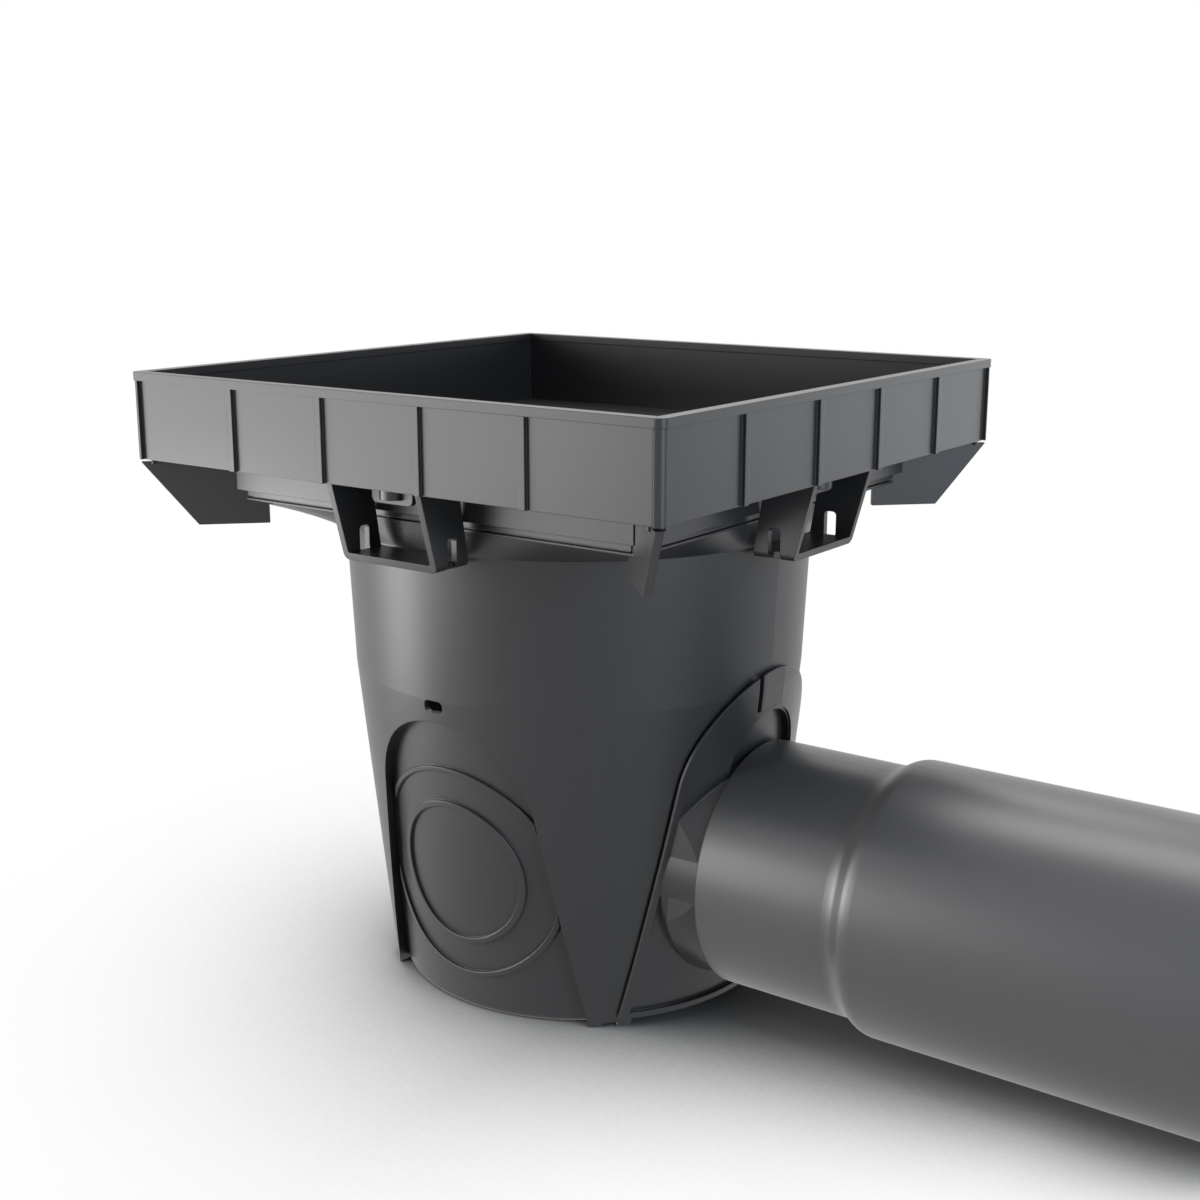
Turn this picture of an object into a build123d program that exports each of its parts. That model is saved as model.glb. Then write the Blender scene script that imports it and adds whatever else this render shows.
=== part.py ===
from build123d import *
import math
import os

os.makedirs("parts", exist_ok=True)

# Basin shell: radii of the outer skin and the heights where they are reached
foot_radius = 101.2
belt_radius = 118.3
belt_height = 169.0
neck_radius = 121.6
neck_height = 243.0
wall = 3.0
floor_thickness = 3.0

# Square dish and flange on top of the shell, with the upstand that centres the frame
flange_overhang = 0.4
dish_height = 13.6
flange_thickness = 1.0
dish_floor_rise = 2.0
upstand_wall = 2.6
upstand_height = 7.4
fit = 0.4

# Arched recesses, one on each side of the basin
arch_radius = 48.5
arch_centre = 109.5
arch_lean = 7.7
recess_depth = 5.9
recess_edge = 3.0

# Knock-out rings on the recessed walls, centred on the outlet axis
outlet_height = 76.0
ring_proud = 1.8
ring_edge = 0.5
inner_ring = 35.3
inner_ring_width = 3.5
outer_ring = 54.1
outer_ring_width = 2.9
knock_out_gap = 0.1

# Latch slots above the arches and the notches under the four legs
slot_length = 11.3
slot_width = 6.2
slot_round = 2.4
slot_above_arch = 8.0
notch_width = 7.4
notch_height = 1.5
notch_depth = 6.0
web_height = 3.2
web_depth = 1.0

# Corner wings, moulded on the body: places are half widths, measured square to a side
wing_thickness = 3.6
wing_root_inset = 9.0
wing_lift = 0.3
wing_heel_inset = 21.0
wing_tip_inset = 2.2
wing_gap = 1.4

# Frame: skirts below, wall above
lower_skirt_height = 4.4
lower_skirt_wall = 3.0
skirt_groove = 1.0
skirt_step = 3.7
upper_skirt_height = 16.4
upper_skirt_wall = 3.0
skirt_web = 2.4
seat_width = 33.3
frame_wall_height = 43.6
panel_depth = 2.2
panel_wall = 3.0
lip_height = 4.2
lip_inward = 1.0
post_step = 0.4
post_width = 4.0
frame_corner = 4.0
seat_thickness = 2.0
rib_width = 3.4
rib_inner = 29.6
rib_outer_y = 88.4
rib_outer_x = 93.9

# Anchor brackets under the middle of each side of the frame
bracket_inner_half = 25.5
bracket_leg = 3.2
bracket_drop = 37.4
bracket_bar = 3.5
bracket_round = 3.0
bracket_top_inset = 3.7
bracket_lean = 10.3
bracket_back_gap = 3.6
bracket_flange_gap = 1.2
leg_slot_width = 6.4
leg_slot_inset = 7.1
leg_slot_height = 15.0
leg_slot_round = 2.0

# Tab and boss between the legs of a bracket, and the knobs beside the wings
tab_inset = 18.0
tab_half = 12.5
tab_drop = 8.9
tab_thickness = 3.0
tab_round = 3.0
boss_radius = 6.8
boss_drop = 6.4
knob_radius = 1.0
knob_drop = 2.2
knob_inset = 6.5
knob_gap = 0.6

# Outlet adapter: arched plate, snap tongue, hub and spigot
skin_gap = 0.3
plate_gap = 1.6
plate_proud = 2.9
plate_cover = 8.5
plate_above_slot = 12.3
plate_lean = 6.5
plate_bottom = 5.1
plate_margin = 3.0
panel_skin = 1.2
panel_top = 120.0
rim_wall = 2.2
tongue_half = 11.0
tongue_slit = 3.4
tongue_below_slot = 7.4
tongue_flat_half = 9.0
hook_width = 8.0
hook_height = 4.4
barb_height = 1.2
barb_length = 1.6
hub_inset = 2.5
hub_flare = 4.6
hub_flare_rise = 4.3
hub_root_x = 98.0
pocket_half = 28.5
pocket_below_arch = 1.4
pocket_depth = 2.0
pocket_wall = 2.0
ledge_width = 1.2
ledge_depth = 1.0
spigot_wall = 4.0
spigot_length = 36.0

# Outlet pipe: plain end over the spigot, socket at the far end
pipe_radius = 62.5
pipe_wall = 3.9
pipe_end_gap = 0.3
flare_start = 183.0
flare_length = 16.5
socket_radius = 68.0
socket_wall = 4.0
pipe_end = 375.0
pipe_chamfer = 0.5

# Levels and half widths that follow from the sizes above
flange_half = neck_radius + flange_overhang
flange_top = neck_height + dish_height
upper_skirt_half = flange_half + skirt_step
frame_half = upper_skirt_half + seat_width
wing_root = flange_half - wing_root_inset
wing_heel = frame_half - wing_heel_inset
wing_bottom = neck_height + wing_lift
frame_bottom = flange_top + lower_skirt_height + upper_skirt_height
frame_top = frame_bottom + frame_wall_height
lower_skirt_bottom = flange_top
upper_skirt_bottom = flange_top + lower_skirt_height
skirt_inner = flange_half - lower_skirt_wall
upstand_half = skirt_inner - fit
throat_half = upstand_half - upstand_wall
panel_half = frame_half - panel_depth
post_half = frame_half - post_step
inner_half = panel_half - panel_wall
spigot_radius = pipe_radius - pipe_wall - skin_gap
ring_margin = fit + rim_wall + skin_gap
lower_taper = (belt_radius - foot_radius) / belt_height
upper_taper = (neck_radius - belt_radius) / (neck_height - belt_height)
arch_top = arch_centre + arch_radius
slot_height = arch_top + slot_above_arch
plate_radius = arch_radius + plate_cover
plate_centre = slot_height + plate_above_slot - plate_radius
pocket_centre = arch_top - pocket_below_arch - pocket_half
pipe_top = outlet_height + pipe_radius
plate_face = foot_radius + lower_taper * pipe_top + plate_proud
pipe_start = math.sqrt(plate_face**2 - pocket_half**2) + pipe_end_gap
reach = 2 * foot_radius
quarters = 4


def turned_skin(shift, low, high):
    """Solid of revolution whose surface lies `shift` outside the basin's skin."""
    with BuildPart() as solid:
        with BuildSketch(Plane.XZ):
            with BuildLine():
                Polyline(
                    (0, low),
                    (foot_radius + lower_taper * low + shift, low),
                    (belt_radius + shift, belt_height),
                    (belt_radius + upper_taper * (high - belt_height) + shift, high),
                    (0, high),
                    close=True,
                )
            make_face()
        revolve(axis=Axis.Z)
    return solid.part


def arch_prism(radius, centre, lean, bottom):
    """Prism along +X with an arched outline: round top, sides leaning outwards below it."""
    angle = math.radians(lean)
    shoulder_y = radius * math.cos(angle)
    shoulder_z = centre + radius * math.sin(angle)
    foot_y = radius / math.cos(angle) + (centre - bottom) * math.tan(angle)
    with BuildPart() as prism:
        with BuildSketch(Plane.YZ):
            with BuildLine():
                Polyline(
                    (-shoulder_y, shoulder_z),
                    (-foot_y, bottom),
                    (foot_y, bottom),
                    (shoulder_y, shoulder_z),
                )
                ThreePointArc((shoulder_y, shoulder_z), (0, centre + radius), (-shoulder_y, shoulder_z))
            make_face()
        extrude(amount=reach)
    return prism.part


def square_to_round(radius, low, half, high):
    """Loft from a circle to a square, with the arcs of the circle ending on the diagonals."""
    with BuildPart() as dish:
        with BuildSketch(Plane.XY.offset(low)):
            with BuildLine():
                for turn in range(quarters):
                    CenterArc((0, 0), radius, turn * 90 - 45, 90)
            make_face()
        with BuildSketch(Plane.XY.offset(high)):
            Rectangle(2 * half, 2 * half)
        loft(ruled=True)
    return dish.part


# Material that one arched recess removes: the arch, less the recessed wall with its rounded foot
with BuildPart() as recess_core:
    with BuildSketch(Plane.XZ):
        core_foot = foot_radius - recess_depth
        edge_turn = recess_edge * (1 - math.sqrt(0.5))
        with BuildLine():
            ThreePointArc(
                (core_foot - recess_edge, 0),
                (core_foot - edge_turn, edge_turn),
                (core_foot + lower_taper * recess_edge, recess_edge),
            )
            Polyline(
                (core_foot + lower_taper * recess_edge, recess_edge),
                (core_foot + lower_taper * belt_height, belt_height),
                (0, belt_height),
                (0, 0),
                (core_foot - recess_edge, 0),
            )
        make_face()
    revolve(axis=Axis.Z)

with BuildPart() as recess:
    add(arch_prism(arch_radius, arch_centre, arch_lean, 0))
    add(recess_core.part, mode=Mode.SUBTRACT)

# Inside of a recess, which the basin's cavity has to leave standing
with BuildPart() as recess_back:
    add(arch_prism(arch_radius + wall, arch_centre, arch_lean, 0))
    add(turned_skin(-recess_depth - wall, 0, neck_height), mode=Mode.SUBTRACT)

# Knock-out rings, cut off by the arch and standing proud of the recessed wall
with BuildPart() as rings:
    with BuildSketch(Plane.YZ):
        with Locations((0, outlet_height)):
            Circle(inner_ring + inner_ring_width)
            Circle(inner_ring, mode=Mode.SUBTRACT)
    extrude(amount=reach)
    with BuildSketch(Plane.YZ):
        with Locations((0, outlet_height)):
            Circle(outer_ring + outer_ring_width)
            Circle(outer_ring, mode=Mode.SUBTRACT)
    extrude(amount=reach)
    add(arch_prism(arch_radius - ring_margin, arch_centre, arch_lean, 0), mode=Mode.INTERSECT)
    add(turned_skin(ring_proud - recess_depth, 0, neck_height), mode=Mode.INTERSECT)
    chamfer(rings.faces().filter_by(GeomType.CONE).edges(), length=ring_edge)
    add(turned_skin(-recess_depth - wall / 2, 0, neck_height), mode=Mode.SUBTRACT)

# Hollow of the basin: tapered bowl, square dish and the throat inside the upstand
with BuildPart() as cavity:
    add(turned_skin(-wall, floor_thickness, neck_height + dish_floor_rise))
    bowl_rim = neck_radius - wall + upper_taper * dish_floor_rise
    add(square_to_round(bowl_rim, neck_height + dish_floor_rise, throat_half, flange_top))
    with BuildSketch(Plane.XY.offset(flange_top)):
        Rectangle(2 * throat_half, 2 * throat_half)
    extrude(amount=upstand_height)
    with PolarLocations(0, quarters):
        add(recess_back.part, mode=Mode.SUBTRACT)

# Corner wing: an upright plate on the diagonal that passes through a slit in the frame's skirt
diagonal = Plane(origin=(0, 0, 0), x_dir=(1, 1, 0), z_dir=(1, -1, 0))
root_two = math.sqrt(2)
wing_top = frame_bottom - wing_gap
upstand_middle = upstand_half - upstand_wall / 2
with BuildPart() as wing:
    with BuildSketch(diagonal):
        with BuildLine():
            Polyline(
                (root_two * (frame_half - wing_tip_inset), wing_top),
                (root_two * wing_heel, wing_bottom),
                (root_two * wing_root, wing_bottom),
                (root_two * wing_root, flange_top - wall),
                (root_two * upstand_middle, flange_top - flange_thickness),
                (root_two * upstand_middle, flange_top + upstand_height),
                (root_two * upper_skirt_half, wing_top),
                close=True,
            )
        make_face()
    extrude(amount=wing_thickness / 2, both=True)

# Latch slot above an arch, and the notch that leaves two feet and a web under a leg
with BuildPart() as slot:
    with BuildSketch(Plane.YZ):
        with Locations((0, slot_height)):
            RectangleRounded(slot_length, slot_width, slot_round)
    extrude(amount=reach)

with BuildPart() as foot_notch:
    with BuildSketch(Plane.XY):
        with Locations((foot_radius - notch_depth, 0)):
            Rectangle(2 * notch_depth, notch_width, align=(Align.MIN, Align.CENTER))
    extrude(amount=notch_height)
    with BuildSketch(Plane.XY):
        with Locations((foot_radius - web_depth, 0)):
            Rectangle(2 * notch_depth, notch_width, align=(Align.MIN, Align.CENTER))
    extrude(amount=web_height)

# Outlet opening, knocked out inside the outer ring of one recess
with BuildPart() as opening:
    with BuildSketch(Plane.YZ):
        with Locations((0, outlet_height)):
            Circle(outer_ring - knock_out_gap)
    extrude(amount=reach)
    add(arch_prism(arch_radius - ring_margin, arch_centre, arch_lean, 0), mode=Mode.INTERSECT)

# Basin body
with BuildPart() as basin_body:
    add(turned_skin(0, 0, neck_height))
    add(square_to_round(neck_radius, neck_height, flange_half, flange_top - flange_thickness))
    with BuildSketch(Plane.XY.offset(flange_top - flange_thickness)):
        Rectangle(2 * flange_half, 2 * flange_half)
    extrude(amount=flange_thickness)
    with BuildSketch(Plane.XY.offset(flange_top)):
        Rectangle(2 * upstand_half, 2 * upstand_half)
    extrude(amount=upstand_height)
    with PolarLocations(0, quarters):
        add(recess.part, mode=Mode.SUBTRACT)
    with PolarLocations(0, quarters):
        add(rings.part)
    add(cavity.part, mode=Mode.SUBTRACT)
    with PolarLocations(0, quarters):
        add(wing.part)
    with PolarLocations(0, quarters):
        add(slot.part, mode=Mode.SUBTRACT)
    with PolarLocations(0, quarters, start_angle=45):
        add(foot_notch.part, mode=Mode.SUBTRACT)
    add(opening.part, mode=Mode.SUBTRACT)

basin_body.part.label = "basin_body"
export_step(basin_body.part, "parts/basin_body.step")

# One bracket, on the -Y side: a U seen from the front, trimmed to its leaning side outline
bracket_bottom = frame_bottom - bracket_drop
bracket_half = bracket_inner_half + bracket_leg
front_top = frame_half - bracket_top_inset
front_bottom = front_top - bracket_lean
back_top = upper_skirt_half + bracket_back_gap
back_bottom = flange_half + bracket_flange_gap
leg_slot_middle = front_bottom - leg_slot_inset - leg_slot_width / 2
with BuildPart() as bracket:
    with BuildSketch(Plane.XZ):
        with Locations((0, bracket_bottom)):
            RectangleRounded(
                2 * bracket_half, 2 * bracket_drop, bracket_round, align=(Align.CENTER, Align.MIN)
            )
        with Locations((0, bracket_bottom + bracket_bar)):
            RectangleRounded(
                2 * bracket_inner_half,
                2 * bracket_drop,
                bracket_round / 3,
                align=(Align.CENTER, Align.MIN),
                mode=Mode.SUBTRACT,
            )
    extrude(amount=reach)
    with BuildSketch(Plane.YZ):
        with BuildLine():
            Polyline(
                (-front_top, frame_bottom),
                (-front_bottom, bracket_bottom),
                (-back_bottom, bracket_bottom),
                (-back_top, frame_bottom),
                close=True,
            )
        make_face()
    extrude(amount=bracket_half, both=True, mode=Mode.INTERSECT)
    with BuildSketch(Plane.YZ):
        with Locations((-leg_slot_middle, bracket_bottom + leg_slot_height)):
            RectangleRounded(
                leg_slot_width, 2 * leg_slot_height, leg_slot_round, align=(Align.CENTER, Align.MAX)
            )
    extrude(amount=bracket_half, both=True, mode=Mode.SUBTRACT)
    with BuildSketch(Plane.XZ):
        with Locations((0, bracket_bottom)):
            Rectangle(2 * bracket_inner_half, bracket_bar, align=(Align.CENTER, Align.MIN))
    extrude(amount=front_bottom - leg_slot_inset / 2)
    with BuildSketch(Plane.XZ):
        with Locations((0, bracket_bottom)):
            Rectangle(2 * bracket_inner_half, bracket_bar, align=(Align.CENTER, Align.MIN))
    extrude(amount=back_bottom, mode=Mode.SUBTRACT)

# Tab and boss that hang under the seat between the bracket's legs
with BuildPart() as tab:
    with BuildSketch(Plane.XZ.offset(frame_half - tab_inset - tab_thickness / 2)):
        with Locations((0, frame_bottom - tab_drop)):
            RectangleRounded(2 * tab_half, 2 * tab_drop, tab_round, align=(Align.CENTER, Align.MIN))
    extrude(amount=tab_thickness)
    with BuildSketch(Plane.XY.offset(frame_bottom - boss_drop)):
        with Locations((0, -(frame_half - tab_inset))):
            Circle(boss_radius)
    extrude(amount=boss_drop)
    split(bisect_by=Plane.XY.offset(frame_bottom), keep=Keep.BOTTOM)

# Knobs that hang under the frame's corner on both sides of a wing
knob_side = wing_thickness / 2 + knob_gap + knob_radius
with BuildPart() as knobs:
    for side in (-1, 1):
        along = frame_half - knob_inset
        across = side * knob_side / root_two
        with BuildSketch(Plane.XY.offset(frame_bottom - knob_drop)):
            with Locations((along + across, along - across)):
                Circle(knob_radius)
        extrude(amount=knob_drop)

# Slit through a corner of the skirts, where a wing passes
with BuildPart() as wing_slit:
    with BuildSketch(diagonal):
        slit_root = root_two * (skirt_inner - upper_skirt_wall)
        slit_end = root_two * (upper_skirt_half + upper_skirt_wall)
        with Locations((slit_root, lower_skirt_bottom)):
            Rectangle(
                slit_end - slit_root,
                frame_bottom - lower_skirt_bottom,
                align=(Align.MIN, Align.MIN),
            )
    extrude(amount=wing_thickness / 2 + fit, both=True)

# Top frame
with BuildPart() as top_frame:
    # Wall with recessed panels
    with BuildSketch(Plane.XY.offset(frame_bottom)):
        RectangleRounded(2 * panel_half, 2 * panel_half, frame_corner)
        Rectangle(2 * inner_half, 2 * inner_half, mode=Mode.SUBTRACT)
    extrude(amount=frame_wall_height)
    # Lip round the top edge, inside and out
    with BuildSketch(Plane.XY.offset(frame_top - lip_height)):
        RectangleRounded(2 * frame_half, 2 * frame_half, frame_corner)
        Rectangle(2 * (inner_half - lip_inward), 2 * (inner_half - lip_inward), mode=Mode.SUBTRACT)
    extrude(amount=lip_height)
    # Corner posts
    with BuildSketch(Plane.XY.offset(frame_bottom)):
        RectangleRounded(2 * post_half, 2 * post_half, frame_corner)
        Rectangle(2 * (post_half - post_width), 2 * post_half, mode=Mode.SUBTRACT)
        Rectangle(2 * post_half, 2 * (post_half - post_width), mode=Mode.SUBTRACT)
    extrude(amount=frame_wall_height)
    # Ribs on the four outer faces
    rib_depth = post_half - inner_half
    rib_middle = (post_half + inner_half) / 2
    with BuildSketch(Plane.XY.offset(frame_bottom)):
        for place in (-rib_outer_y, -rib_inner, rib_inner, rib_outer_y):
            with Locations((place, -rib_middle), (place, rib_middle)):
                Rectangle(rib_width, rib_depth)
        for place in (-rib_outer_x, -rib_inner, rib_inner, rib_outer_x):
            with Locations((-rib_middle, place), (rib_middle, place)):
                Rectangle(rib_depth, rib_width)
    extrude(amount=frame_wall_height)
    # Seat for the grate
    with BuildSketch(Plane.XY.offset(frame_bottom)):
        Rectangle(2 * inner_half, 2 * inner_half)
        Rectangle(2 * skirt_inner, 2 * skirt_inner, mode=Mode.SUBTRACT)
    extrude(amount=seat_thickness)
    # Upper skirt, the web at its foot, and the lower skirt that stands on the flange
    with BuildSketch(Plane.XY.offset(upper_skirt_bottom)):
        Rectangle(2 * upper_skirt_half, 2 * upper_skirt_half)
        upper_inner = upper_skirt_half - upper_skirt_wall
        Rectangle(2 * upper_inner, 2 * upper_inner, mode=Mode.SUBTRACT)
    extrude(amount=upper_skirt_height)
    with BuildSketch(Plane.XY.offset(upper_skirt_bottom)):
        Rectangle(2 * upper_skirt_half, 2 * upper_skirt_half)
        Rectangle(2 * skirt_inner, 2 * skirt_inner, mode=Mode.SUBTRACT)
    extrude(amount=skirt_web)
    with BuildSketch(Plane.XY.offset(lower_skirt_bottom + skirt_groove)):
        Rectangle(2 * flange_half, 2 * flange_half)
        Rectangle(2 * skirt_inner, 2 * skirt_inner, mode=Mode.SUBTRACT)
    extrude(amount=lower_skirt_height - skirt_groove)
    with BuildSketch(Plane.XY.offset(lower_skirt_bottom)):
        skirt_foot = skirt_inner + lower_skirt_wall / 2
        Rectangle(2 * skirt_foot, 2 * skirt_foot)
        Rectangle(2 * skirt_inner, 2 * skirt_inner, mode=Mode.SUBTRACT)
    extrude(amount=skirt_groove)
    with PolarLocations(0, quarters):
        add(wing_slit.part, mode=Mode.SUBTRACT)
        add(bracket.part)
        add(tab.part)
        add(knobs.part)

top_frame.part.label = "top_frame"
export_step(top_frame.part, "parts/top_frame.step")

# Outlet adapter: arched plate with a thin edge that stands off the skin and a sunk lower panel
panel_radius = plate_radius - plate_margin
joint_level = (skin_gap + panel_skin) / 2
with BuildPart() as panel_front:
    with BuildSketch(Plane.XZ):
        with BuildLine():
            Polyline(
                (0, plate_bottom),
                (foot_radius + panel_skin, plate_bottom),
                (foot_radius + lower_taper * panel_top + plate_proud, panel_top),
                (0, panel_top),
                close=True,
            )
        make_face()
    revolve(axis=Axis.Z)

with BuildPart() as panel:
    add(arch_prism(panel_radius, plate_centre, plate_lean, plate_bottom + plate_margin))
    with BuildSketch(Plane.YZ):
        with Locations((0, panel_top)):
            Rectangle(3 * plate_radius, 2 * plate_radius, align=(Align.CENTER, Align.MIN))
    extrude(amount=reach, mode=Mode.SUBTRACT)
    add(panel_front.part, mode=Mode.SUBTRACT)

with BuildPart() as plate:
    add(arch_prism(plate_radius, plate_centre, plate_lean, plate_bottom))
    add(turned_skin(plate_gap, 0, neck_height), mode=Mode.SUBTRACT)
    add(arch_prism(panel_radius + plate_gap, plate_centre, plate_lean, plate_bottom + plate_gap))
    add(turned_skin(plate_proud, 0, neck_height), mode=Mode.INTERSECT)
    add(turned_skin(skin_gap, 0, neck_height), mode=Mode.SUBTRACT)
    add(panel.part, mode=Mode.SUBTRACT)

# Rim behind the plate that drops into the basin's recess
rim_radius = arch_radius - fit
with BuildPart() as rim:
    add(arch_prism(rim_radius, arch_centre, arch_lean, plate_bottom + plate_margin))
    add(turned_skin(joint_level, 0, neck_height), mode=Mode.INTERSECT)
    add(turned_skin(skin_gap - recess_depth, 0, neck_height), mode=Mode.SUBTRACT)
    add(arch_prism(rim_radius - rim_wall, arch_centre, arch_lean, 0), mode=Mode.SUBTRACT)

# Arched pocket over the spigot, with a ledge round it, which lets the pipe's end come close
with BuildPart() as pocket:
    add(arch_prism(pocket_half, pocket_centre, 0, outlet_height))
    add(turned_skin(-pocket_depth, 0, neck_height), mode=Mode.SUBTRACT)

with BuildPart() as ledge:
    add(arch_prism(pocket_half + ledge_width, pocket_centre, 0, outlet_height))
    add(turned_skin(plate_proud - ledge_depth, 0, neck_height), mode=Mode.SUBTRACT)

with BuildPart() as pocket_back:
    add(arch_prism(pocket_half + pocket_wall, pocket_centre, 0, outlet_height))
    add(arch_prism(rim_radius - rim_wall / 2, arch_centre, arch_lean, 0), mode=Mode.INTERSECT)
    add(turned_skin(joint_level, 0, neck_height), mode=Mode.INTERSECT)
    add(turned_skin(-pocket_depth - pocket_wall, 0, neck_height), mode=Mode.SUBTRACT)

# Hub: a flare that is centred higher at its root than at its end, and the cylinder inside it
spigot_end = pipe_start + spigot_length
tube_seat = ring_proud - recess_depth + skin_gap
hub_radius = pipe_radius - hub_inset
hub_end_x = pipe_start - pipe_end_gap
with BuildPart() as hub:
    with BuildSketch(Plane.YZ.offset(hub_root_x)):
        with Locations((0, outlet_height + hub_flare_rise)):
            Circle(hub_radius + hub_flare)
    with BuildSketch(Plane.YZ.offset(hub_end_x)):
        with Locations((0, outlet_height)):
            Circle(hub_radius - fit)
    loft()
    add(arch_prism(panel_radius, plate_centre, plate_lean, plate_bottom), mode=Mode.INTERSECT)
    with BuildSketch(Plane.YZ):
        with Locations((0, outlet_height)):
            Circle(hub_radius)
    extrude(amount=hub_end_x)
    add(turned_skin(skin_gap, 0, neck_height), mode=Mode.SUBTRACT)
    add(pocket.part, mode=Mode.SUBTRACT)
    add(ledge.part, mode=Mode.SUBTRACT)

# Space that the basin's skin takes up beside the recess
with BuildPart() as skin_beside_recess:
    add(turned_skin(skin_gap, 0, neck_height))
    add(arch_prism(rim_radius, arch_centre, arch_lean, 0), mode=Mode.SUBTRACT)

# Spigot, from its seat on the outer ring inside the recess to its free end inside the pipe
with BuildPart() as spigot:
    with BuildSketch(Plane.YZ):
        with Locations((0, outlet_height)):
            Circle(spigot_radius)
    extrude(amount=spigot_end)
    add(turned_skin(tube_seat, 0, neck_height), mode=Mode.SUBTRACT)
    add(skin_beside_recess.part, mode=Mode.SUBTRACT)

# Hook on the back of the tongue, which passes through the basin's slot
with BuildPart() as hook:
    with BuildSketch(Plane.YZ):
        with Locations((0, slot_height)):
            Rectangle(hook_width, hook_height)
    extrude(amount=reach)
    add(turned_skin(-wall - skin_gap - barb_length, 0, neck_height), mode=Mode.SUBTRACT)
    add(turned_skin(joint_level, 0, neck_height), mode=Mode.INTERSECT)

with BuildPart() as barb:
    with BuildSketch(Plane.YZ):
        with Locations((0, slot_height + barb_height / 2)):
            Rectangle(hook_width, hook_height + barb_height)
    extrude(amount=reach)
    add(turned_skin(-wall - skin_gap - barb_length, 0, neck_height), mode=Mode.SUBTRACT)
    add(turned_skin(-wall - skin_gap, 0, neck_height), mode=Mode.INTERSECT)

# Flat face of the snap tongue, and the slit that frees it on one side
tongue_root = slot_height - tongue_below_slot
tongue_edge = tongue_half + tongue_slit
with BuildPart() as tongue_face:
    with BuildSketch(Plane.XZ.offset(-tongue_flat_half)):
        belt_face = math.sqrt((belt_radius + plate_proud) ** 2 - tongue_flat_half**2)
        root_face = belt_face - lower_taper * (belt_height - tongue_root)
        tip_face = belt_face + upper_taper * plate_above_slot
        with BuildLine():
            Polyline(
                (root_face, tongue_root),
                (belt_face, belt_height),
                (tip_face, belt_height + plate_above_slot),
                (reach, belt_height + plate_above_slot),
                (reach, tongue_root),
                close=True,
            )
        make_face()
    extrude(amount=tongue_flat_half + tongue_edge)

with BuildPart() as adapter_shell:
    add(plate.part)
    add(rim.part)
    add(pocket_back.part)
    add(pocket.part, mode=Mode.SUBTRACT)
    add(ledge.part, mode=Mode.SUBTRACT)
    add(tongue_face.part, mode=Mode.SUBTRACT)

with BuildPart() as outlet_adapter:
    add(hub.part)
    add(spigot.part)
    add(adapter_shell.part)
    add(hook.part)
    add(barb.part)
    with BuildSketch(Plane.YZ):
        with Locations((0, outlet_height)):
            Circle(spigot_radius - spigot_wall)
    extrude(amount=spigot_end, mode=Mode.SUBTRACT)
    with BuildSketch(Plane.YZ):
        with Locations((-(tongue_half + tongue_slit / 2), tongue_root)):
            Rectangle(tongue_slit, plate_radius, align=(Align.CENTER, Align.MIN))
    extrude(amount=reach, mode=Mode.SUBTRACT)

outlet_adapter.part.label = "outlet_adapter"
export_step(outlet_adapter.part, "parts/outlet_adapter.step")

# Outlet pipe
flare_end = flare_start + flare_length
flare_middle = flare_start + flare_length / 2
with BuildPart() as outlet_pipe:
    with BuildSketch(Plane.XZ):
        with BuildLine():
            outside = outlet_height + pipe_radius
            outside_socket = outlet_height + socket_radius
            inside = outside - pipe_wall
            inside_socket = outside_socket - socket_wall
            Polyline(
                (flare_start, inside),
                (pipe_start, inside),
                (pipe_start, outside - pipe_chamfer),
                (pipe_start + pipe_chamfer, outside),
                (flare_start, outside),
            )
            Bezier(
                (flare_start, outside),
                (flare_middle, outside),
                (flare_middle, outside_socket),
                (flare_end, outside_socket),
            )
            Polyline(
                (flare_end, outside_socket),
                (pipe_end, outside_socket),
                (pipe_end, inside_socket),
                (flare_end, inside_socket),
            )
            Bezier(
                (flare_end, inside_socket),
                (flare_middle, inside_socket),
                (flare_middle, inside),
                (flare_start, inside),
            )
        make_face()
    revolve(axis=Axis((0, 0, outlet_height), (1, 0, 0)))

outlet_pipe.part.label = "outlet_pipe"
export_step(outlet_pipe.part, "parts/outlet_pipe.step")
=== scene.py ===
"""Looks of a moulded plastic gully drain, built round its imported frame.

Lengths are in metres, in the frame's axes: +Z up, the outlet along +X, the basin's underside on the floor.
"""

import logging
from collections.abc import Mapping
from dataclasses import dataclass, field
from enum import Enum

import bpy
from mathutils import Matrix, Vector

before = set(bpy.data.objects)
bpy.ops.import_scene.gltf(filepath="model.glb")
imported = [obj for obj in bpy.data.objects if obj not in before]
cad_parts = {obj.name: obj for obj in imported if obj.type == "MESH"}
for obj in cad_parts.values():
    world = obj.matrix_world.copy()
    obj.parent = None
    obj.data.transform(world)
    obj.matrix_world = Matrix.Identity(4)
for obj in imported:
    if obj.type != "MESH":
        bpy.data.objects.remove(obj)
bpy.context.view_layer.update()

log = logging.getLogger("gully_drain")

Colour = tuple[float, float, float]
Point = tuple[float, float, float]
Source = bpy.types.NodeSocket | float
Sockets = Mapping[str, bpy.types.NodeSocket]

WHITE: Colour = (1.0, 1.0, 1.0)
UP: Point = (0.0, 0.0, 1.0)

# Places of the vector sockets in a Mix node
MIX_VECTOR_A = 4
MIX_VECTOR_B = 5
MIX_VECTOR_RESULT = 1


class Mould(Enum):
    """How a plastic surface was formed, which sets the texture it carries."""

    SPARK_GRAINED = "spark grained"
    DRAWN = "drawn"


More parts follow.
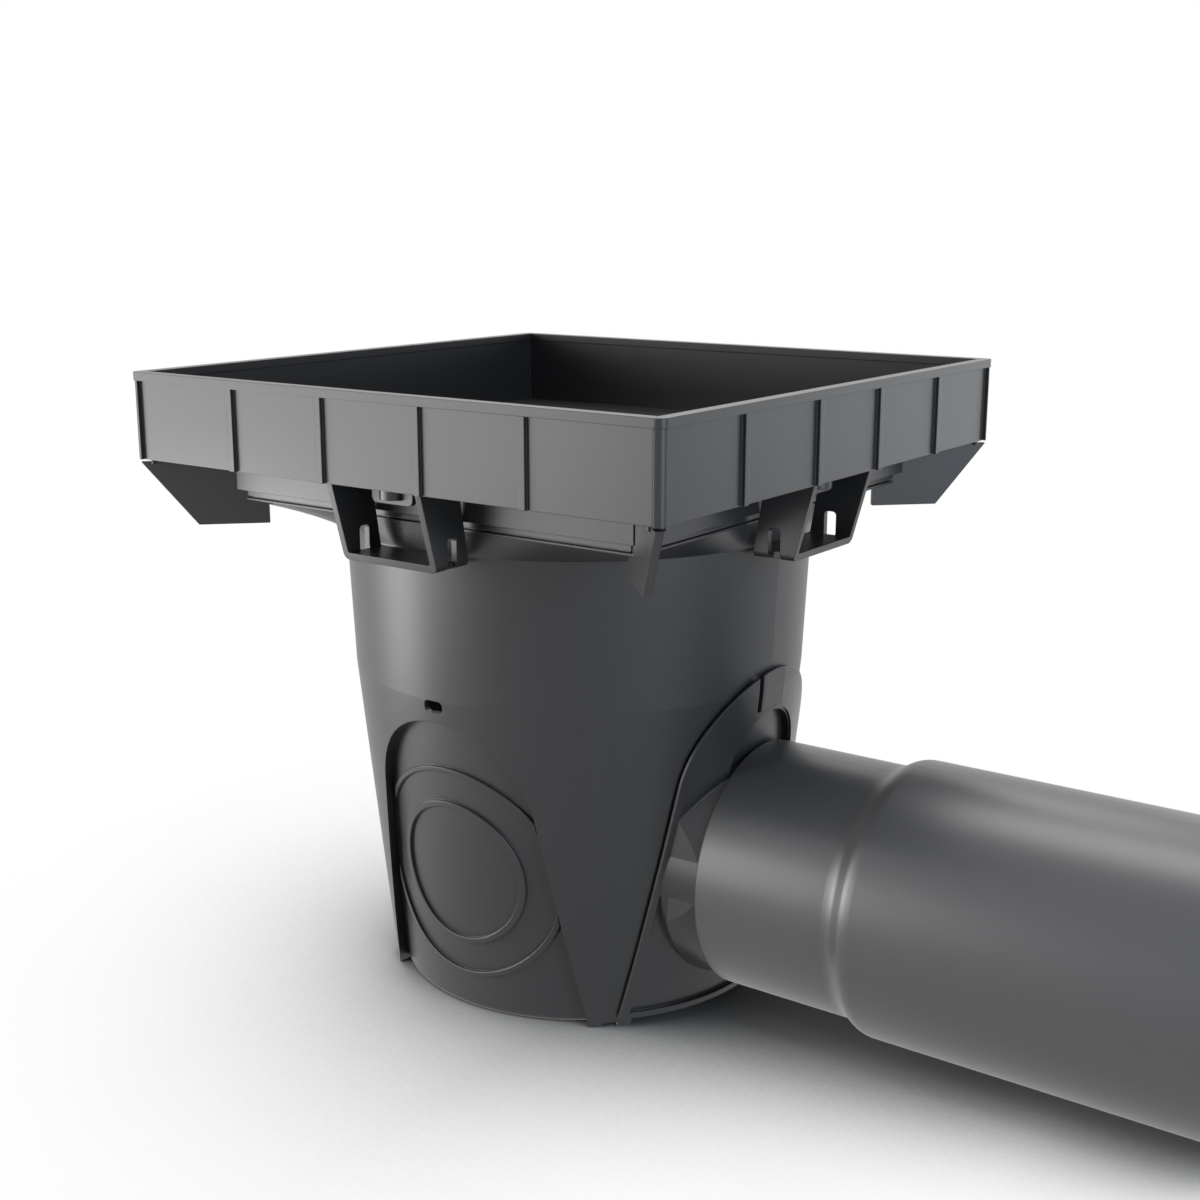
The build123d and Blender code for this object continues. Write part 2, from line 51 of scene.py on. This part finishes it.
class NodeWriter:
    """Adds nodes to one node tree and wires them."""

    def __init__(self, tree: bpy.types.NodeTree) -> None:
        """Take up a tree.

        Args:
            tree: the node tree to write in.
        """
        self.tree = tree

    def add(self, kind: str) -> bpy.types.Node:
        """Add a node.

        Args:
            kind: Blender's name of the node type.

        Returns:
            The new node.
        """
        return self.tree.nodes.new(kind)

    def feed(self, slot: bpy.types.NodeSocket, source: Source) -> None:
        """Link a socket to a source, or set its value.

        Args:
            slot: the input socket.
            source: an output socket or a number.
        """
        if isinstance(source, bpy.types.NodeSocket):
            self.tree.links.new(source, slot)
        else:
            slot.default_value = source

    def math(self, kind: str, first: Source, second: Source) -> bpy.types.NodeSocket:
        """Add a math node.

        Args:
            kind: Blender's name of the operation.
            first: a socket or a number.
            second: a socket or a number.

        Returns:
            The node's result.
        """
        node = self.add("ShaderNodeMath")
        node.operation = kind
        self.feed(node.inputs[0], first)
        self.feed(node.inputs[1], second)
        return node.outputs[0]

    def ramp(
        self,
        value: bpy.types.NodeSocket,
        low: float,
        high: float,
        top: float = 1.0,
        ease: str = "LINEAR",
    ) -> bpy.types.NodeSocket:
        """Add a ramp from 0 to its top.

        Args:
            value: what runs along the ramp.
            low: value at the ramp's foot.
            high: value at the ramp's top.
            top: what the ramp gives at its top.
            ease: Blender's name of the ramp's course.

        Returns:
            The ramp's result.
        """
        node = self.add("ShaderNodeMapRange")
        node.interpolation_type = ease
        self.feed(node.inputs["Value"], value)
        node.inputs["From Min"].default_value = low
        node.inputs["From Max"].default_value = high
        node.inputs["To Max"].default_value = top
        return node.outputs["Result"]

    def noise(self, scale: Source, detail: float, place: bpy.types.NodeSocket) -> bpy.types.NodeSocket:
        """Add a noise texture.

        Args:
            scale: a socket or a number, in cycles per metre.
            detail: octaves of detail.
            place: where the noise is read.

        Returns:
            The noise, about 0 to 1.
        """
        node = self.add("ShaderNodeTexNoise")
        node.inputs["Detail"].default_value = detail
        self.feed(node.inputs["Vector"], place)
        self.feed(node.inputs["Scale"], scale)
        return node.outputs["Fac"]

    def seen(self) -> bpy.types.NodeSocket:
        """Tell rays that show a thing from rays that light by it.

        Returns:
            1 for rays of the camera, of gloss and of glass, otherwise 0.
        """
        path = self.add("ShaderNodeLightPath").outputs
        shown = path["Is Camera Ray"]
        for kind in ("Is Glossy Ray", "Is Transmission Ray"):
            shown = self.math("MAXIMUM", shown, path[kind])
        return shown


@dataclass
class SurfaceTexture:
    """Node group shared by all plastics: mottled colour, drifting gloss, fine grain, rounded edges and a
    painted highlight that makes the edges paler.

    Args:
        name: name of the group.
        broad_cycles: cycles per metre of the broad drift.
        broad_detail: octaves of the broad drift.
        cloud_cycles: cycles per metre of the finer clouding.
        cloud_detail: octaves of the clouding.
        grain_detail: octaves of the grain.
        drawn_stretch: how the grain is stretched along the axis of a drawn surface.
        edge_samples: rays that the rounded edge is read with.
        tree: the finished group.
    """

    name: str = "moulded_plastic_surface"
    broad_cycles: float = 9.0
    broad_detail: float = 2.0
    cloud_cycles: float = 55.0
    cloud_detail: float = 4.0
    grain_detail: float = 3.0
    drawn_stretch: Point = (0.06, 1.0, 1.0)
    edge_samples: int = 6
    tree: bpy.types.NodeTree = field(init=False)

    def __post_init__(self) -> None:
        """Build the group once."""
        self.tree = bpy.data.node_groups.new(self.name, "ShaderNodeTree")
        self._sockets()
        write = NodeWriter(self.tree)
        given = write.add("NodeGroupInput").outputs
        out = write.add("NodeGroupOutput").inputs
        place = write.add("ShaderNodeTexCoord").outputs["Object"]
        self._wire(write, given, out, place)

    def _sockets(self) -> None:
        """Make the group's named inputs and outputs."""
        face = self.tree.interface
        face.new_socket("Colour", in_out="INPUT", socket_type="NodeSocketColor")
        for name in (
            "Mottle",
            "Roughness",
            "Roughness drift",
            "Grain size",
            "Grain depth",
            "Edge round",
            "Painted edge highlight",
            "Drawn",
        ):
            face.new_socket(name, in_out="INPUT", socket_type="NodeSocketFloat")
        face.new_socket("Colour", in_out="OUTPUT", socket_type="NodeSocketColor")
        face.new_socket("Roughness", in_out="OUTPUT", socket_type="NodeSocketFloat")
        face.new_socket("Normal", in_out="OUTPUT", socket_type="NodeSocketVector")

    def _wire(self, write: NodeWriter, given: Sockets, out: Sockets, place: bpy.types.NodeSocket) -> None:
        """Wire the group.

        Args:
            write: the writer of the group's tree.
            given: the group's inputs.
            out: the group's outputs.
            place: where on the object the surface is read.
        """
        broad = write.noise(self.broad_cycles, self.broad_detail, place)
        cloud = write.noise(self.cloud_cycles, self.cloud_detail, place)
        both_at_middle = 1.0
        drift = write.math("SUBTRACT", write.math("ADD", broad, cloud), both_at_middle)

        edge = write.add("ShaderNodeBevel")
        edge.samples = self.edge_samples
        write.feed(edge.inputs["Radius"], given["Edge round"])
        # Painted highlight: the colour is made paler where a rounded edge turns away from its face.
        painted_edge_light = write.math("MULTIPLY", self._turned_away(write, edge), given["Painted edge highlight"])

        # Random mottle tone, then the painted edge highlight, scale the colour.
        shade = write.math("MULTIPLY", drift, given["Mottle"])
        lift = write.math("ADD", write.math("ADD", shade, 1.0), painted_edge_light)
        tint = write.add("ShaderNodeVectorMath")
        tint.operation = "SCALE"
        write.feed(tint.inputs[0], given["Colour"])
        write.feed(tint.inputs["Scale"], lift)
        write.feed(out["Colour"], tint.outputs["Vector"])

        gloss = write.math("MULTIPLY", drift, given["Roughness drift"])
        write.feed(out["Roughness"], write.math("ADD", given["Roughness"], gloss))

        bump = write.add("ShaderNodeBump")
        write.feed(bump.inputs["Distance"], given["Grain depth"])
        write.feed(bump.inputs["Height"], self._grain(write, given, place))
        write.feed(bump.inputs["Normal"], edge.outputs["Normal"])
        write.feed(out["Normal"], bump.outputs["Normal"])

    @staticmethod
    def _turned_away(write: NodeWriter, edge: bpy.types.Node) -> bpy.types.NodeSocket:
        """Read how far a rounded edge turns away from its face, which masks the painted edge highlight.

        Args:
            write: the writer of the group's tree.
            edge: the node that rounds the edges.

        Returns:
            0 on a flat face, more on an edge.
        """
        turned = write.add("ShaderNodeVectorMath")
        turned.operation = "DOT_PRODUCT"
        write.feed(turned.inputs[0], edge.outputs["Normal"])
        write.feed(turned.inputs[1], write.add("ShaderNodeNewGeometry").outputs["Normal"])
        return write.math("SUBTRACT", 1.0, turned.outputs["Value"])

    def _grain(self, write: NodeWriter, given: Sockets, place: bpy.types.NodeSocket) -> bpy.types.NodeSocket:
        """Make the fine grain, even on a grained surface and in long lines on a drawn one.

        Args:
            write: the writer of the group's tree.
            given: the group's inputs.
            place: where on the object the surface is read.

        Returns:
            The grain's height, about 0 to 1.
        """
        stretch = write.add("ShaderNodeMapping")
        write.feed(stretch.inputs["Vector"], place)
        stretch.inputs["Scale"].default_value = self.drawn_stretch
        choose = write.add("ShaderNodeMix")
        choose.data_type = "VECTOR"
        write.feed(choose.inputs["Factor"], given["Drawn"])
        write.feed(choose.inputs[MIX_VECTOR_A], place)
        write.feed(choose.inputs[MIX_VECTOR_B], stretch.outputs["Vector"])
        cycles = write.math("DIVIDE", 1.0, given["Grain size"])
        return write.noise(cycles, self.grain_detail, choose.outputs[MIX_VECTOR_RESULT])


@dataclass(frozen=True)
class PlasticFinish:
    """One charcoal plastic surface.

    Args:
        name: name of the material.
        mould: how the surface was formed.
        colour: body colour, linear.
        mottle: share by which the colour drifts over the surface.
        roughness: middle roughness of the gloss.
        roughness_drift: how far the roughness drifts over the surface.
        grain_size: size of one grain of the texture, in metres.
        grain_depth: depth of the texture, in metres.
        edge_round: radius that light sees on sharp edges, in metres.
        painted_edge_highlight: how much paler the edges are painted, a painted highlight along them.
        specular: level of the surface's reflection.
    """

    name: str
    mould: Mould
    colour: Colour
    mottle: float = 0.04
    roughness: float = 0.33
    roughness_drift: float = 0.02
    grain_size: float = 0.0009
    grain_depth: float = 0.000004
    edge_round: float = 0.0005
    # Painted highlight on the edges.
    painted_edge_highlight: float = 0.35
    specular: float = 0.5

    def material(self, texture: SurfaceTexture) -> bpy.types.Material:
        """Build the material.

        Args:
            texture: the shared node group that makes colour, roughness and normal.

        Returns:
            The new material.
        """
        made = bpy.data.materials.new(self.name)
        made.use_nodes = True
        made.node_tree.nodes.clear()
        write = NodeWriter(made.node_tree)
        group = write.add("ShaderNodeGroup")
        group.node_tree = texture.tree
        shader = write.add("ShaderNodeBsdfPrincipled")
        output = write.add("ShaderNodeOutputMaterial")
        values = {
            "Colour": (*self.colour, 1.0),
            "Mottle": self.mottle,
            "Roughness": self.roughness,
            "Roughness drift": self.roughness_drift,
            "Grain size": self.grain_size,
            "Grain depth": self.grain_depth,
            "Edge round": self.edge_round,
            "Painted edge highlight": self.painted_edge_highlight,
            "Drawn": 1.0 if self.mould is Mould.DRAWN else 0.0,
        }
        for socket, value in values.items():
            group.inputs[socket].default_value = value
        shader.inputs["Specular IOR Level"].default_value = self.specular
        write.feed(shader.inputs["Base Color"], group.outputs["Colour"])
        write.feed(shader.inputs["Roughness"], group.outputs["Roughness"])
        write.feed(shader.inputs["Normal"], group.outputs["Normal"])
        write.feed(output.inputs["Surface"], shader.outputs["BSDF"])
        return made


BASIN_PLASTIC = PlasticFinish("basin_plastic", Mould.SPARK_GRAINED, (0.034, 0.034, 0.036), roughness=0.40)
FRAME_PLASTIC = PlasticFinish("frame_plastic", Mould.SPARK_GRAINED, (0.036, 0.036, 0.038))
ADAPTER_PLASTIC = PlasticFinish("adapter_plastic", Mould.SPARK_GRAINED, (0.034, 0.034, 0.036))
PIPE_PLASTIC = PlasticFinish(
    "pipe_plastic",
    Mould.DRAWN,
    (0.090, 0.090, 0.092),
    roughness=0.36,
    specular=0.8,
    grain_size=0.0012,
    grain_depth=0.000002,
)


@dataclass
class DressedNode:
    """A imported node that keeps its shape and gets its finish.

    Args:
        node: name of the node.
        finish: the plastic that covers it.
    """

    node: str
    finish: PlasticFinish

    def dress(self, texture: SurfaceTexture) -> None:
        """Give the node its finish.

        Args:
            texture: the shared surface group.
        """
        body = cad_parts[self.node]
        body.data.materials.clear()
        body.data.materials.append(self.finish.material(texture))
        log.info("%s: %d faces, %s", self.node, len(body.data.polygons), self.finish.name)


@dataclass
class SoftBox:
    """A rectangular studio lamp aimed at a point.

    Args:
        name: name of the lamp.
        place: where it stands.
        target: the point it faces.
        size: width and height.
        power: power in watts.
        colour: tint of the light.
    """

    name: str
    place: Point
    target: Point
    size: tuple[float, float]
    power: float
    colour: Colour = WHITE

    def build(self) -> None:
        """Make the lamp."""
        data = bpy.data.lights.new(self.name, "AREA")
        data.shape = "RECTANGLE"
        data.size, data.size_y = self.size
        data.energy = self.power
        data.color = self.colour
        lamp = bpy.data.objects.new(self.name, data)
        bpy.context.scene.collection.objects.link(lamp)
        lamp.location = self.place
        aim = Vector(self.target) - Vector(self.place)
        lamp.rotation_euler = aim.to_track_quat("-Z", "Y").to_euler()


@dataclass
class Floor:
    """White floor that keeps the object's shadow: the lamps' real shadows, and a painted shade where an
    occlusion mask darkens it near the object.

    Args:
        name: name of the floor and its material.
        reach: half width of the floor.
        shade: diffuse grey of the floor where the object stands near it, the colour of the painted shade
            there.
        roughness: roughness of the floor.
        sky_reach: distance over which the object closes off the sky above the floor.
        sky_samples: rays that the open sky is read with.
        sky_dark: share of open sky at which the floor shows nothing but its own shade.
        sky_white: share of open sky from which the floor is plain white.
        outlet_lift: how much the painted shade is eased along the outlet, as a share of open sky.
        outlet_span: where along +X that easing begins and is full.
        gloss_white: least share of white that gloss sees in the floor.
    """

    name: str = "studio_floor"
    reach: float = 9.0
    shade: float = 0.25
    roughness: float = 0.9
    sky_reach: float = 0.36
    sky_samples: int = 16
    sky_dark: float = 0.30
    sky_white: float = 0.92
    outlet_lift: float = 0.20
    outlet_span: tuple[float, float] = (0.05, 0.28)
    gloss_white: float = 0.85

    def build(self) -> None:
        """Make the floor."""
        mesh = bpy.data.meshes.new(self.name)
        signs = ((-1, -1), (1, -1), (1, 1), (-1, 1))
        corners = [(self.reach * x, self.reach * y, 0.0) for x, y in signs]
        mesh.from_pydata(corners, [], [(0, 1, 2, 3)])
        mesh.materials.append(self._material())
        floor = bpy.data.objects.new(self.name, mesh)
        bpy.context.scene.collection.objects.link(floor)

    def _material(self) -> bpy.types.Material:
        """Make the floor's finish: white, and a painted shade of darker grey, lit by the lamps, where the
        object closes off the sky.

        Returns:
            The new material.
        """
        made = bpy.data.materials.new(self.name)
        made.use_nodes = True
        write = NodeWriter(made.node_tree)
        shader = made.node_tree.nodes["Principled BSDF"]
        shader.inputs["Base Color"].default_value = (self.shade, self.shade, self.shade, 1.0)
        shader.inputs["Roughness"].default_value = self.roughness
        shader.inputs["Specular IOR Level"].default_value = 0.0
        white = write.add("ShaderNodeEmission")
        mixed = write.add("ShaderNodeMixShader")
        write.feed(mixed.inputs["Fac"], write.math("MULTIPLY", self._white_share(write), write.seen()))
        write.feed(mixed.inputs[1], shader.outputs["BSDF"])
        write.feed(mixed.inputs[2], white.outputs["Emission"])
        write.feed(made.node_tree.nodes["Material Output"].inputs["Surface"], mixed.outputs["Shader"])
        return made

    def _white_share(self, write: NodeWriter) -> bpy.types.NodeSocket:
        """Read how white the floor is at a point, the mask of the painted shade.

        Args:
            write: the writer of the material's tree.

        Returns:
            1 under open sky, down to 0 where the object closes it off.
        """
        # Painted shade: occlusion by the object, eased along the outlet, turns the floor from white to its
        # darker grey.
        sky = write.add("ShaderNodeAmbientOcclusion")
        sky.samples = self.sky_samples
        sky.inputs["Distance"].default_value = self.sky_reach
        along = write.add("ShaderNodeSeparateXYZ")
        write.feed(along.inputs[0], write.add("ShaderNodeNewGeometry").outputs["Position"])
        lift = write.ramp(along.outputs["X"], *self.outlet_span, top=self.outlet_lift)
        eased = write.math("ADD", sky.outputs["AO"], lift)
        opened = write.ramp(eased, self.sky_dark, self.sky_white, ease="SMOOTHSTEP")
        is_gloss = write.add("ShaderNodeLightPath").outputs["Is Glossy Ray"]
        return write.math("MAXIMUM", write.math("MULTIPLY", is_gloss, self.gloss_white), opened)


@dataclass
class Camera:
    """The camera.

    Args:
        eye: where the camera stands.
        look: direction the camera looks in.
        lens: focal length in millimetres.
        sensor: width of the sensor in millimetres.
        far: distance up to which the camera sees.
    """

    eye: Point = (0.51727, -0.69274, 0.40182)
    look: Point = (-0.57218, 0.78685, -0.23126)
    lens: float = 50.0
    sensor: float = 36.0
    far: float = 50.0

    def build(self) -> None:
        """Make the camera."""
        data = bpy.data.cameras.new("camera")
        data.lens = self.lens
        data.sensor_width = self.sensor
        data.clip_end = self.far
        camera = bpy.data.objects.new("camera", data)
        bpy.context.scene.collection.objects.link(camera)
        forward = Vector(self.look).normalized()
        right = forward.cross(Vector(UP)).normalized()
        up = right.cross(forward)
        turn = Matrix((right, up, -forward)).transposed()
        camera.matrix_world = Matrix.Translation(self.eye) @ turn.to_4x4()
        bpy.context.scene.camera = camera


MIDDLE: Point = (0.0, 0.0, 0.18)
LOW_MIDDLE: Point = (0.0, 0.0, 0.15)
FOOT: Point = (0.0, 0.0, 0.12)

LAMPS = (
    SoftBox("left_box", (-0.57, -0.65, 0.27), LOW_MIDDLE, (0.79, 0.50), 5.2),
    SoftBox("low_box", (-0.37, -0.32, 0.11), FOOT, (0.18, 0.20), 0.75),
    SoftBox("back_box", (-0.56, 1.13, 1.28), MIDDLE, (1.0, 0.5), 4.0),
    SoftBox("cool_box", (1.28, -0.32, 0.48), MIDDLE, (0.7, 0.96), 7.0, (0.76, 0.88, 1.0)),
    SoftBox("rim_box", (0.45, 1.15, 0.42), MIDDLE, (0.9, 0.8), 2.0, (0.92, 0.96, 1.0)),
    SoftBox("top_box", (-0.2, 0.5, 2.0), MIDDLE, (1.0, 0.8), 11.0),
)


@dataclass
class Studio:
    """White floor, white surroundings, lamps and the camera.

    Args:
        floor: the floor under the object.
        lamps: the lamps.
        camera: the camera.
    """

    floor: Floor = field(default_factory=Floor)
    lamps: tuple[SoftBox, ...] = LAMPS
    camera: Camera = field(default_factory=Camera)

    def build(self) -> None:
        """Make the floor, the surroundings, the lamps and the camera."""
        self.floor.build()
        self._surround()
        for lamp in self.lamps:
            lamp.build()
        self.camera.build()

    @staticmethod
    def _surround() -> None:
        """Make the surroundings: white to the camera, in gloss and in glass, and no source of light."""
        world = bpy.data.worlds.new("studio_surround")
        bpy.context.scene.world = world
        world.use_nodes = True
        background = world.node_tree.nodes["Background"]
        background.inputs["Color"].default_value = (*WHITE, 1.0)
        write = NodeWriter(world.node_tree)
        write.feed(background.inputs["Strength"], write.seen())


PIECES = (
    DressedNode("basin_body", BASIN_PLASTIC),
    DressedNode("top_frame", FRAME_PLASTIC),
    DressedNode("outlet_adapter", ADAPTER_PLASTIC),
    DressedNode("outlet_pipe", PIPE_PLASTIC),
)


def main() -> None:
    """Build the studio and dress the drain."""
    logging.basicConfig(level=logging.INFO, format="%(name)s: %(message)s")
    bpy.context.scene.view_settings.view_transform = "Standard"
    Studio().build()
    texture = SurfaceTexture()
    for piece in PIECES:
        piece.dress(texture)


if __name__ == "__main__":
    main()
